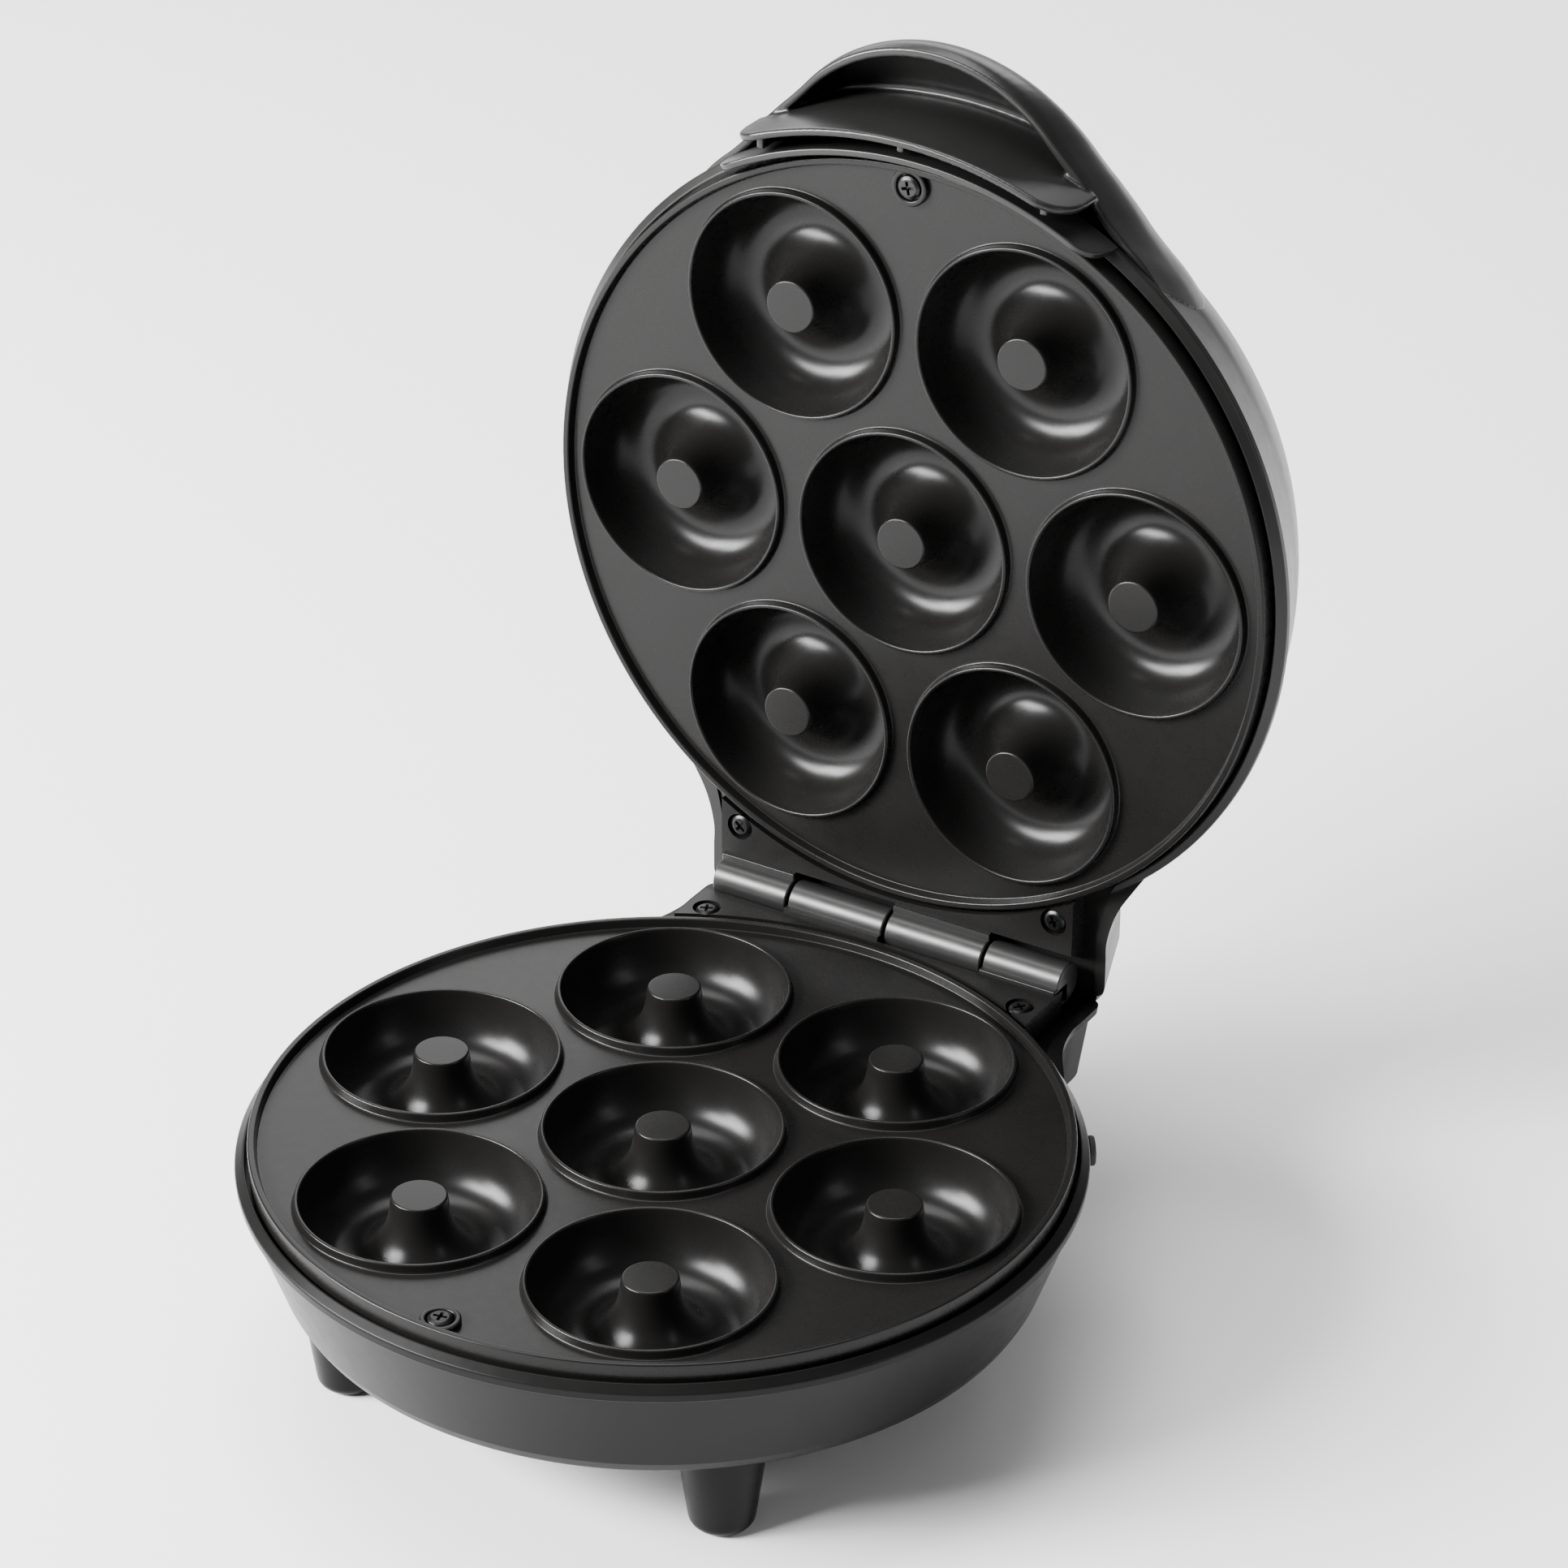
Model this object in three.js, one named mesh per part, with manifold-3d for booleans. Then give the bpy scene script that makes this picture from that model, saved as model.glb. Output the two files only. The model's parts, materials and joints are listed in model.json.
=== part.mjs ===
// Seven-hole mini donut maker: two die-cast plates joined by a pin hinge, each in its own moulded casing.
// Millimetres, +Z up, -Y is the front. The lid stands open at a right angle, resting on its hinge stop.
//
// Both halves are modelled in one "half frame": the plate's surface is z = 0 and faces +Z, the hinge is
// at +Y and the casing hangs below. The lid is the same half frame turned over about the hinge.
import * as THREE from "three";
import { mergeVertices } from "three/addons/utils/BufferGeometryUtils.js";
import Module from "manifold-3d";

const wasm = await Module();
wasm.setup();

// ---------- driving dimensions ----------
const MOULD_PITCH = 65; // centre to centre of neighbouring moulds
const MOULD_RADIUS = 28.6; // mouth of a mould
const MOULD_DEPTH = 13.2;
const BEAD_RADIUS = 30.4; // foot of the raised bead around a mould
const PEG_RADIUS = 6.6;
const PEG_TOP = 2.2;
const LIP_HEIGHT = 2.2; // lip around the plate, the beads and the collar
const PLATE_RADIUS = 100.3;
const PLATE_THICKNESS = 2.4;
const BOWL_WALL = 2;
const MATING = 2.52; // height of the plane where the two halves meet
const HINGE_Y = 110;
const KNUCKLE_RADIUS = 5.3;
const KNUCKLE_EDGES = [-51.5, -29, 0, 29, 51.5];
const KNUCKLE_GAP = 0.8;
const KNUCKLE_ROOM = 2.3; // clearance round the other half's knuckles
const LEAF_HALF = 52; // half width of the hinge leaf
const LEAF_TOP = 2.3;
const LEAF_BOTTOM = -4.6;
const LEDGE = -4.9; // the casing's ledge under the leaf
const PIN_RADIUS = 1.5;
const PIN_BORE = 1.95;
const PIN_BLIND_END = 47.5;
const FLANGE_RADIUS = 103.6;
const FLANGE_TOP = -2;
const WALL = 2.4;
const GAP = 0.3; // between touching pieces
const NECK_HALF = 58.5; // half width of the hinge block on each casing
const NECK_TOP = -4.2;
const NECK_REAR = 116.1;
// the blocks' levels: [z, inset of the sides, inset of the rear]
const BASE_NECK = [[-28, 9, 3], [-24, 4.6, 0], [-8, 2.4, 0], [-6.4, 0.3, 0], [-4.2, 0, 0]];
const LID_NECK = [[-30, 11, 3], [-26, 7.9, 0], [-4.2, 0, 0]];
const GROUND = -58;
const FRONT_FOOT = [53.4, -58.5];
const REAR_FOOT = [34, 93];
const HANDLE_RADIUS = 47; // outer edge of the grip, seen from above
const HANDLE_CENTRE = -79.6;
const SKIRT_RADIUS = 104; // inner wall in front of the plate
const GRIP_WALL_RADIUS = 110.3; // rear wall of the finger pocket
const GRIP_SHELL = 2.3; // thickness of the arch
const SCREW_FRONT = [0, -94.6];
const SCREW_LEAF = [46.5, 94];
const SCREW_HEAD = 3.1;
const SCREW_SHANK = 1.7;
const ELEMENT_RING = 62;
const ELEMENT_TUBE = 3;
const ELEMENT_Z = -18.9;
const GLAND_AZIMUTH = 36.5; // degrees from +X towards the rear
const GLAND_Z = -10.6;

const ROUND_SIDES = 40; // facets of the plates and casings
const MOULD_SIDES = 12;

const deg = (d) => (d * Math.PI) / 180;

// ---------- solids ----------
function solid(geometry) {
  const bare = (geometry.index ? geometry.toNonIndexed() : geometry).clone();
  bare.deleteAttribute("normal");
  bare.deleteAttribute("uv");
  const merged = mergeVertices(bare, 1e-4);
  return new wasm.Manifold(
    new wasm.Mesh({
      numProp: 3,
      vertProperties: new Float32Array(merged.attributes.position.array),
      triVerts: new Uint32Array(merged.index.array),
    }),
  );
}

function geometryOf(body) {
  const mesh = body.getMesh();
  const geometry = new THREE.BufferGeometry();
  geometry.setAttribute("position", new THREE.BufferAttribute(mesh.vertProperties, 3));
  geometry.setIndex(new THREE.BufferAttribute(mesh.triVerts, 1));
  const flat = geometry.toNonIndexed();
  flat.computeVertexNormals();
  return flat;
}

const joined = (bodies) => bodies.reduce((sum, next) => sum.add(next));

// A solid of revolution about Z from [radius, z] points, listed so that the outside is on the right
// as the outline climbs.
function turned(points, segments = 24) {
  const profile = points.map(([r, z]) => new THREE.Vector2(r, z));
  return solid(new THREE.LatheGeometry(profile, segments).rotateX(Math.PI / 2));
}

// A solid of revolution whose outline closes on itself away from the axis.
const ringTurned = (points, segments) => turned([...points, points[0]], segments);

function cylinderZ(radius, low, high, at = [0, 0], segments = 16) {
  const height = high - low;
  const shape = new THREE.CylinderGeometry(radius, radius, height, segments);
  return solid(shape.rotateX(Math.PI / 2).translate(at[0], at[1], low + height / 2));
}

function cylinderX(radius, low, high, y, z, segments = 16) {
  const length = high - low;
  const shape = new THREE.CylinderGeometry(radius, radius, length, segments);
  return solid(shape.rotateZ(Math.PI / 2).translate(low + length / 2, y, z));
}

function box(low, high) {
  const size = high.map((v, i) => v - low[i]);
  const middle = high.map((v, i) => (v + low[i]) / 2);
  return solid(new THREE.BoxGeometry(...size).translate(...middle));
}

// A solid through outlines of equal point count, each { z, points }, from the lowest up.
// Outlines run anticlockwise seen from above.
function lofted(sections) {
  const count = sections[0].points.length;
  const positions = sections.flatMap(({ z, points }) => points.flatMap(([x, y]) => [x, y, z]));
  const index = [];
  for (let s = 0; s + 1 < sections.length; s++) {
    for (let i = 0; i < count; i++) {
      const a = s * count + i;
      const b = s * count + ((i + 1) % count);
      index.push(a, b, b + count, a, b + count, a + count);
    }
  }
  const top = (sections.length - 1) * count;
  const outline = (k) => sections[k].points.map(([x, y]) => new THREE.Vector2(x, y));
  for (const [a, b, c] of THREE.ShapeUtils.triangulateShape(outline(0), [])) index.push(c, b, a);
  for (const [a, b, c] of THREE.ShapeUtils.triangulateShape(outline(sections.length - 1), [])) {
    index.push(top + a, top + b, top + c);
  }
  const geometry = new THREE.BufferGeometry();
  geometry.setAttribute("position", new THREE.Float32BufferAttribute(positions, 3));
  geometry.setIndex(index);
  return solid(geometry);
}

function mirrored(half) {
  const other = half.filter(([x]) => x !== 0).map(([x, y]) => [-x, y]);
  return [...half, ...other.reverse()];
}

// A tube along points, with flat ends.
function tube(points, radius, sides = 8, steps = 40) {
  const section = new THREE.Shape();
  section.absarc(0, 0, radius, 0, 2 * Math.PI);
  const places = points.map((p) => new THREE.Vector3(...p));
  const extrudePath = new THREE.CatmullRomCurve3(places, false, "centripetal");
  const options = { steps, curveSegments: sides / 2, bevelEnabled: false, extrudePath };
  return solid(new THREE.ExtrudeGeometry(section, options));
}

// A curved wall: the sector of a ring between two radii, centred on -Y. Each level is [z, half angle].
function sectorWall(inner, outer, levels) {
  const steps = 14;
  const arc = (radius, from, to) =>
    Array.from({ length: steps + 1 }, (_, i) => {
      const a = deg(-90 + from + ((to - from) * i) / steps);
      return [radius * Math.cos(a), radius * Math.sin(a)];
    });
  return lofted(levels.map(([z, half]) => ({
    z,
    points: [...arc(outer, -half, half), ...arc(inner, half, -half)],
  })));
}

// ---------- plates ----------
const mouldCentres = [[0, 0]];
for (let k = 0; k < 6; k++) {
  mouldCentres.push([MOULD_PITCH * Math.cos(deg(60 * k)), MOULD_PITCH * Math.sin(deg(60 * k))]);
}

function mouldBowl() {
  return turned([
    [0, -MOULD_DEPTH - BOWL_WALL],
    [20, -MOULD_DEPTH - BOWL_WALL],
    [27, -MOULD_DEPTH + 2.6],
    [BEAD_RADIUS, -PLATE_THICKNESS],
    [BEAD_RADIUS, 0],
    [BEAD_RADIUS - 0.8, LIP_HEIGHT],
    [0, PEG_TOP],
  ], MOULD_SIDES);
}

function mouldCavity() {
  const top = LIP_HEIGHT + 1;
  return ringTurned([
    [PEG_RADIUS, top],
    [PEG_RADIUS + 1, -5.5],
    [PEG_RADIUS + 4.6, -MOULD_DEPTH + 2],
    [17.6, -MOULD_DEPTH],
    [MOULD_RADIUS - 4.6, -MOULD_DEPTH + 2.6],
    [MOULD_RADIUS - 1, -5.5],
    [MOULD_RADIUS + 0.3, top],
  ], MOULD_SIDES);
}

function screwHoles() {
  const [leafX, leafY] = SCREW_LEAF;
  const radius = SCREW_SHANK + 0.4;
  return [SCREW_FRONT, [leafX, leafY], [-leafX, leafY]].map((at) =>
    cylinderZ(radius, -12, LIP_HEIGHT + 1, at, 12),
  );
}

function makePlate(boreEnd) {
  const disc = turned([
    [0, -PLATE_THICKNESS],
    [97.4, -PLATE_THICKNESS],
    [97.8, -7.2 + GAP],
    [PLATE_RADIUS - 0.4, -7.2 + GAP],
    [PLATE_RADIUS, -0.5],
    [PLATE_RADIUS, LIP_HEIGHT],
    [PLATE_RADIUS - 1.5, LIP_HEIGHT],
    [PLATE_RADIUS - 2.1, 0],
    [0, 0],
  ], ROUND_SIDES);
  const leafPoints = mirrored([
    [0, 80],
    [LEAF_HALF, 80],
    [LEAF_HALF, HINGE_Y - 4],
    [0, HINGE_Y - 4],
  ]);
  const leaf = lofted([{ z: LEAF_BOTTOM, points: leafPoints }, { z: LEAF_TOP, points: leafPoints }]);
  const moat = cylinderZ(PLATE_RADIUS + 1.1, -0.4, 4, [0, 0], ROUND_SIDES);
  let plate = disc.add(leaf.subtract(moat));
  // the knuckles of this half, and clear grooves where the other half's knuckles turn
  [[1, 2], [3, 4]].forEach(([from, to]) => {
    const low = KNUCKLE_EDGES[from] + KNUCKLE_GAP / 2;
    const high = KNUCKLE_EDGES[to] - (to === 4 ? 0 : KNUCKLE_GAP / 2);
    const web = box([low, HINGE_Y - 7.1, LEAF_BOTTOM + 1.6], [high, HINGE_Y, MATING + 0.6]);
    plate = plate.add(web).add(cylinderX(KNUCKLE_RADIUS, low, high, HINGE_Y, MATING, 20));
  });
  [[0, 1], [2, 3]].forEach(([from, to]) => {
    const low = KNUCKLE_EDGES[from] - (from === 0 ? 2 : KNUCKLE_GAP / 2);
    const high = KNUCKLE_EDGES[to] + KNUCKLE_GAP / 2;
    plate = plate.subtract(cylinderX(KNUCKLE_RADIUS + KNUCKLE_ROOM, low, high, HINGE_Y, MATING, 24));
  });
  plate = plate.subtract(cylinderX(PIN_BORE, -60, boreEnd, HINGE_Y, MATING, 12));
  const bowl = mouldBowl();
  const cavity = mouldCavity();
  const [frontX, frontY] = SCREW_FRONT;
  plate = plate.add(cylinderZ(4.8, -1, 1.5, [frontX, frontY], 16));
  for (const [x, y] of mouldCentres) plate = plate.add(bowl.translate([x, y, 0]));
  for (const [x, y] of mouldCentres) plate = plate.subtract(cavity.translate([x, y, 0]));
  plate = plate.subtract(cylinderZ(SCREW_HEAD + 0.4, -0.6, LIP_HEIGHT + 1, [frontX, frontY], 16));
  // the skirt under the lip is notched round the front post
  plate = plate.subtract(cylinderZ(4.4, -8, -PLATE_THICKNESS, [frontX, frontY], 12));
  for (const side of [-1, 1]) {
    const at = [side * SCREW_LEAF[0], SCREW_LEAF[1]];
    plate = plate.subtract(cylinderZ(SCREW_HEAD + 0.4, 0.6, 4, at, 16));
  }
  for (const hole of screwHoles()) plate = plate.subtract(hole);
  return plate;
}

function plateScrew([x, y], headLow, headTop, end) {
  return turned([
    [0, end],
    [SCREW_SHANK * 0.5, end],
    [SCREW_SHANK, end + 2],
    [SCREW_SHANK, headLow],
    [SCREW_HEAD, headLow],
    [SCREW_HEAD, headTop - 0.7],
    [SCREW_HEAD - 1, headTop],
    [0, headTop],
  ], 12).translate([x, y, 0]);
}

// ---------- casings ----------
const flangeProfile = [
  [102.6, -6.3],
  [103.4, -5.8],
  [FLANGE_RADIUS, -3.7],
  [101.6, FLANGE_TOP],
];

const baseOutside = [
  [0, -35],
  [60, -35],
  [89, -34.2],
  [92.4, -32.8],
  [94.3, -29.8],
  ...flangeProfile,
];

const lidOutside = [
  [0, -54],
  [50, -53],
  [70, -51.1],
  [80, -47.4],
  [86.8, -42],
  [91.7, -34],
  [95.4, -26],
  ...flangeProfile,
];

// The casing's inside: the outside moved in by the wall, with the ledge that carries the plate.
function insideOf(outside) {
  const lower = outside.slice(0, -4);
  const inner = lower.map(([r, z]) => [Math.max(0, r - WALL * (r > 85 ? 1 : 0.45)), z + WALL]);
  return [...inner, [99.2, -10.4], [96.8, -9.2], [96.8, -7.2], [101.2, -7.2], [101.2, 4], [0, 4]];
}

// Outline of the hinge block at one level: inset in from the full width, flowing into the round.
function neckOutline(inset, rear) {
  const half = NECK_HALF - inset;
  return mirrored([
    [0, 50],
    [60 - inset, 50],
    [77 - inset, 66 - inset],
    [67 - inset, 80 - inset],
    [61 - inset, 89 - inset],
    [half, 98],
    [half, rear - 3],
    [half - 3, rear],
    [0, rear],
  ]);
}

function neckSolid(levels, grow) {
  return lofted(levels.map(([z, inset, rearInset]) => ({
    z: z < NECK_TOP ? z - grow : z,
    points: neckOutline(inset - grow, NECK_REAR - rearInset + grow),
  })));
}

// The space inside a block, under the ledge that carries the hinge leaf.
function neckHollow(levels) {
  const roof = LEDGE - WALL;
  const inside = levels.filter(([z]) => z < roof).map(([z, inset, rearInset], i) => ({
    z: i < 2 ? z + WALL : z,
    points: neckOutline(inset + 3, NECK_REAR - rearInset - 3),
  }));
  return lofted([...inside, { z: roof, points: neckOutline(5, NECK_REAR - 3) }]);
}

function screwPosts(outside, floorRear) {
  const [leafX, leafY] = SCREW_LEAF;
  const front = cylinderZ(4, -26, -PLATE_THICKNESS - GAP, SCREW_FRONT, 12);
  const posts = [front.intersect(turned([...outside, [0, 0]], ROUND_SIDES))];
  for (const side of [-1, 1]) {
    posts.push(cylinderZ(4, floorRear, LEDGE, [side * leafX, leafY], 12));
  }
  return posts;
}

function postBores(end) {
  const [leafX, leafY] = SCREW_LEAF;
  return [SCREW_FRONT, [leafX, leafY], [-leafX, leafY]].map((at) =>
    cylinderZ(SCREW_SHANK + 0.35, end, 0, at, 12),
  );
}

function makeCasing(outside, neck) {
  const round = turned([...outside, [0, FLANGE_TOP]], ROUND_SIDES);
  const room = neckOutline(3, NECK_REAR + 6);
  const keepOut = lofted([{ z: LEDGE, points: room }, { z: 6, points: room }]);
  let casing = round.add(neckSolid(neck, 0));
  casing = casing.subtract(turned(insideOf(outside), ROUND_SIDES)).subtract(neckHollow(neck));
  casing = casing.subtract(keepOut);
  // room under the knuckles of both halves
  return casing.subtract(cylinderX(KNUCKLE_RADIUS + 1.1, -53, 53, HINGE_Y, MATING, 20));
}

function makeBaseCasing() {
  let casing = makeCasing(baseOutside, BASE_NECK);
  for (const post of screwPosts(baseOutside, BASE_NECK[0][0] + 1)) casing = casing.add(post);
  for (const bore of postBores(-18)) casing = casing.subtract(bore);
  for (const at of footPlaces()) casing = casing.subtract(cylinderZ(2.1, -40, -20, at, 10));
  const glandHole = radialCylinder(3.3, 90, 112, GLAND_AZIMUTH, GLAND_Z, 12);
  return casing.subtract(glandHole);
}

function makeLidCasing() {
  let casing = makeCasing(lidOutside, LID_NECK);
  for (const post of screwPosts(lidOutside, LID_NECK[0][0] + 1)) casing = casing.add(post);
  for (const bore of postBores(-18)) casing = casing.subtract(bore);
  // the stop: a lip with rounded corners that meets the base block when the lid is open
  const lip = mirrored([[0, 112], [56.4, 112], [56.4, 115.4], [55.2, 118.2], [52.6, 119.6], [0, 119.6]]);
  casing = casing.add(lofted([{ z: NECK_TOP - 4, points: lip }, { z: NECK_TOP, points: lip }]));
  casing = casing.subtract(neckHollow(LID_NECK));
  // front skirt between the plate and the grip
  const skirtLevels = [[-5, 30.4], [-2, 31.2], [4.6, 30.2], [6.4, 28]];
  casing = casing.add(sectorWall(SKIRT_RADIUS - 1.8, SKIRT_RADIUS, skirtLevels));
  for (const x of [-HANDLE_SCREW_X, HANDLE_SCREW_X]) {
    casing = casing.subtract(cylinderY(2.1, -120, -80, x, HANDLE_SCREW_Z, 10));
  }
  for (const x of LENS_X) {
    casing = casing.subtract(cylinderZ(LENS_RADIUS + GAP, -60, -45, [x, LENS_Y], 14));
  }
  return casing;
}

function cylinderY(radius, low, high, x, z, segments = 12) {
  const length = high - low;
  const shape = new THREE.CylinderGeometry(radius, radius, length, segments);
  return solid(shape.translate(x, low + length / 2, z));
}

function radialCylinder(radius, from, to, azimuth, z, segments) {
  return cylinderX(radius, from, to, 0, z, segments).rotate([0, 0, azimuth]);
}

// ---------- feet ----------
function footPlaces() {
  const [fx, fy] = FRONT_FOOT;
  const [rx, ry] = REAR_FOOT;
  return [[-fx, fy], [fx, fy], [-rx, ry], [rx, ry]];
}

function makeFoot([x, y]) {
  const cone = turned([
    [0, GROUND],
    [5.4, GROUND],
    [7.2, GROUND + 1.1],
    [8.2, GROUND + 3.6],
    [11, -34],
    [11.6, -27],
    [0, -27],
  ], 20).translate([x, y, 0]);
  const grown = baseOutside.map(([r, z]) => [r === 0 ? 0 : r + GAP, z - GAP]);
  const away = turned([...grown, [0, 10]], ROUND_SIDES);
  const neck = neckSolid(BASE_NECK, GAP);
  return cone.subtract(away).subtract(neck).subtract(cylinderZ(1.9, -48, -20, [x, y], 10));
}

function footScrew([x, y], floor) {
  return turned([
    [0, floor - 12],
    [0.8, floor - 12],
    [1.5, floor - 10.5],
    [1.5, floor + GAP],
    [3.2, floor + GAP],
    [2.6, floor + 2.2],
    [0, floor + 2.4],
  ], 10).translate([x, y, 0]);
}

// ---------- handle ----------
const HANDLE_SCREW_X = 19;
const HANDLE_SCREW_Z = -33;

// Outline of the grip at one depth. It rises from the casing's circle (radius casing) to the crown,
// and its width is a share of the full width.
function gripOutline(share, crown, casing) {
  const full = [];
  for (let a = 0; a <= 48; a += 8) {
    const x = HANDLE_RADIUS * Math.sin(deg(a));
    full.push([x, -HANDLE_CENTRE + HANDLE_RADIUS * Math.cos(deg(a))]);
  }
  full.push([41.6, 104.8], [46.9, 99.4], [50.4, 95.4], [55, 91], [60.5, 86.2], [66, 80]);
  const top = -HANDLE_CENTRE + HANDLE_RADIUS;
  const rise = (crown - casing) / (top - FLANGE_RADIUS);
  const half = full.map(([x, y]) => {
    const angle = Math.atan2(x, y) * share;
    const radius = casing + (Math.hypot(x, y) - FLANGE_RADIUS) * rise;
    return [radius * Math.sin(angle), -radius * Math.cos(angle)];
  });
  half.push([36 * share, -62]);
  return mirrored(half);
}

function envelopeOf(outside, grow) {
  const grown = outside.map(([r, z]) => [r === 0 ? 0 : r + grow, z - grow]);
  return turned([...grown, [FLANGE_RADIUS + grow, 12], [0, 12]], ROUND_SIDES);
}

// The grip's body, all round smaller by the inset. An inset body is the hollow, so it runs out at the front.
function gripBody(inset) {
  const levels = [
    [-46.5, 0.92, 88, 81],
    [-40, 1.04, 102.5, 88],
    [-32, 1.1, 113, 92.8],
    [-24, 1.12, 120.5, 96],
    [-17, 1.08, 125.2, 98.6],
    [-10, 1.02, 127.6, 101.2],
    [-6, 1, 126.6, 102.6],
  ];
  if (inset > 0) levels.push([14, 1, 126.6, 102.6]);
  return lofted(levels.map(([z, share, crown, casing]) => ({
    z,
    points: gripOutline(inset > 0 ? Math.min(share, 1) : share, crown - inset, casing - inset),
  })));
}

function makeHandle() {
  const hollow = gripBody(GRIP_SHELL);
  const inner = GRIP_WALL_RADIUS - 2;
  const pocketCone = turned([[0, -19.4], [112.2, -19.4], [125.4, -6], [128, 14], [0, 14]], 60);
  const pocketCore = cylinderZ(GRIP_WALL_RADIUS, -30, 20, [0, 0], 90);
  const pocket = pocketCone.intersect(hollow).subtract(pocketCore);
  const slot = sectorWall(60, inner, [[-27, 34], [20, 34]]).intersect(hollow);
  // the rear wall of the pocket stands proud of the arch, with its ends turned down onto the rim
  const wallLevels = [[-7, 24.5], [-1.6, 25.2], [6.4, 24.5], [9.4, 23.4], [10.4, 21.8]];
  const wall = sectorWall(inner, GRIP_WALL_RADIUS, wallLevels);
  const body = gripBody(0);
  let handle = body.subtract(slot).subtract(pocket).add(wall);
  for (const x of [-39, 0, 39]) {
    const y = Math.sqrt(106.6 ** 2 - x ** 2);
    const front = box([x - 1.4, -y - 2.2, -6.2], [x + 1.4, -y + 1.6, 6]);
    const deep = box([x - 1.4, -y - 2.2, -28], [x + 1.4, -y + 1.6, -6]).intersect(body);
    handle = handle.add(front).add(deep);
  }
  handle = handle.subtract(envelopeOf(lidOutside, GAP + 0.2));
  handle = handle.subtract(cylinderZ(SKIRT_RADIUS + GAP + 0.2, -8, 12, [0, 0], 90));
  for (const x of [-HANDLE_SCREW_X, HANDLE_SCREW_X]) {
    handle = handle.subtract(cylinderY(1.9, -110, -70, x, HANDLE_SCREW_Z, 10));
  }
  return handle;
}

function handleScrew(x) {
  const y = -82.8;
  return joined([
    cylinderY(3.2, y, y + 2.2, x, HANDLE_SCREW_Z, 12),
    cylinderY(1.5, y - 20, y + 1, x, HANDLE_SCREW_Z, 10),
  ]);
}

// ---------- heating, wiring and lamps ----------
function makeElement() {
  const points = [];
  const start = 104;
  points.push([ELEMENT_RING * Math.cos(deg(start - 2)), ELEMENT_RING * Math.sin(deg(start - 2)), -29.5]);
  points.push([ELEMENT_RING * Math.cos(deg(start - 2)), ELEMENT_RING * Math.sin(deg(start - 2)), -24.5]);
  for (let a = start + 6; a <= 360 + 70; a += 20) {
    points.push([ELEMENT_RING * Math.cos(deg(a)), ELEMENT_RING * Math.sin(deg(a)), ELEMENT_Z]);
  }
  points.push([ELEMENT_RING * Math.cos(deg(78)), ELEMENT_RING * Math.sin(deg(78)), -24.5]);
  points.push([ELEMENT_RING * Math.cos(deg(78)), ELEMENT_RING * Math.sin(deg(78)), -29.5]);
  return tube(points, ELEMENT_TUBE, 8, 34);
}

function makeReflector() {
  let dish = turned([
    [0, -23.6],
    [82, -23.6],
    [87.6, -18.4],
    [87.6, -17.4],
    [81.6, -22.8],
    [0, -22.8],
  ], 30);
  for (const a of [106, 74]) {
    const at = [ELEMENT_RING * Math.cos(deg(a)), ELEMENT_RING * Math.sin(deg(a))];
    dish = dish.subtract(cylinderZ(8, -26, -14, at, 12));
  }
  return dish;
}

const THERMOSTAT = [32.5, 18.8];
function makeThermostat() {
  const [x, y] = THERMOSTAT;
  return joined([
    cylinderZ(7, -9, -PLATE_THICKNESS - GAP, [x, y], 16),
    box([x - 5.5, y - 1.5, -14], [x - 4.5, y + 1.5, -8]),
    box([x + 4.5, y - 1.5, -14], [x + 5.5, y + 1.5, -8]),
  ]);
}

const THERMAL_FUSE = [0, 37.5];
function makeThermalFuse() {
  const [x, y] = THERMAL_FUSE;
  return joined([
    cylinderX(2, x - 5.5, x + 5.5, y, -7.4, 12),
    cylinderX(0.6, x - 7.4, x + 7.4, y, -7.4, 8),
  ]);
}

function makeFuseClip() {
  const [x, y] = THERMAL_FUSE;
  const strap = box([x - 3, y - 3.4, -10.4], [x + 3, y + 3.4, -PLATE_THICKNESS - GAP]);
  return strap.subtract(box([x - 4, y - 2.5, -9.7], [x + 4, y + 2.5, -3.6]));
}

function makeTerminalBlock() {
  let block = box([-17, 66, -31.6], [17, 76, -25.4]);
  for (const x of [-11, 0, 11]) block = block.subtract(cylinderY(1.5, 60, 80, x, -28.4, 8));
  return block;
}

function makeGland() {
  const collar = radialCylinder(3.9, 96, 105.9, GLAND_AZIMUTH, GLAND_Z, 16);
  const barrel = radialCylinder(2.9, 91, 103, GLAND_AZIMUTH, GLAND_Z, 12);
  const nut = radialCylinder(3.6, 91, 94.8, GLAND_AZIMUTH, GLAND_Z, 12);
  const bore = radialCylinder(1.7, 80, 112, GLAND_AZIMUTH, GLAND_Z, 10);
  return collar.subtract(envelopeOf(baseOutside, GAP)).add(barrel).add(nut).subtract(bore);
}

function makeCordClamp() {
  const clamp = box([54, 43, -31.5], [62, 53, -25.6]);
  return clamp.subtract(cylinderX(2.2, 50, 66, 48, -28.8, 10));
}

function makeLead(points, radius, steps) {
  return tube(points, radius, 6, steps);
}

const LENS_RADIUS = 3.2;
const LENS_X = [-9, 9];
const LENS_Y = -58;
function makeLens(x) {
  return turned([
    [0, -54.2],
    [1.8, -53.9],
    [LENS_RADIUS, -53.1],
    [LENS_RADIUS, -50.2],
    [0, -50.2],
  ], 14).translate([x, LENS_Y, 0]);
}

function makeLamp(x) {
  return turned([
    [0, -49.9],
    [1.6, -49.4],
    [2.2, -47.8],
    [2.2, -40],
    [0, -40],
  ], 10).translate([x, LENS_Y, 0]);
}

function makeLampBoard() {
  return box([-16, LENS_Y - 6, -39.7], [16, LENS_Y + 6, -38.1]);
}

// ---------- materials and nodes ----------
function finish(color, roughness, metalness) {
  return new THREE.MeshStandardMaterial({ color, roughness, metalness });
}

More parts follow.
